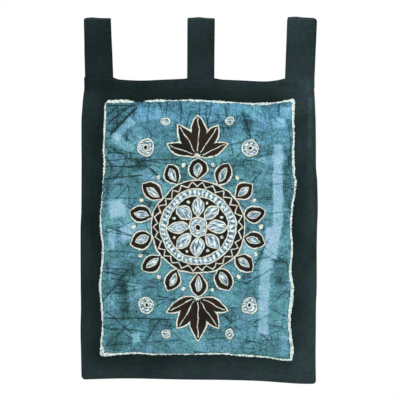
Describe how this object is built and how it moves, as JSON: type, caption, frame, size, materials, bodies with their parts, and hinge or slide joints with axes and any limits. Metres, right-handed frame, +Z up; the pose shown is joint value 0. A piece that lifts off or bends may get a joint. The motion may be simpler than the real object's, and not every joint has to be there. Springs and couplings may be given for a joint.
{
  "type": "batik wall hanging",
  "caption": "Hemmed batik cotton cloth with a blue crackled panel in a dark border, hung from tab loops sewn behind its top edge.",
  "frame": {"origin": "on the rod line, the axis of a rod in the three tab loops, above the middle of the cloth", "axes": "+X to the right along the rod as the front is seen, +Y through the cloth to the wall behind it, +Z up"},
  "size_m": [0.5036, 0.017, 0.7804],
  "materials": {
    "batik_cotton": "plain-weave cotton with a wax-resist dyed panel, blue and brown, in a dark slate green border",
    "dark_cotton": "plain-weave cotton dyed dark slate green, matt"
  },
  "bodies": {
    "root": {"batik_cloth": "batik_cotton", "tab_left": "dark_cotton", "tab_middle": "dark_cotton", "tab_right": "dark_cotton"}
  },
  "joints": []
}
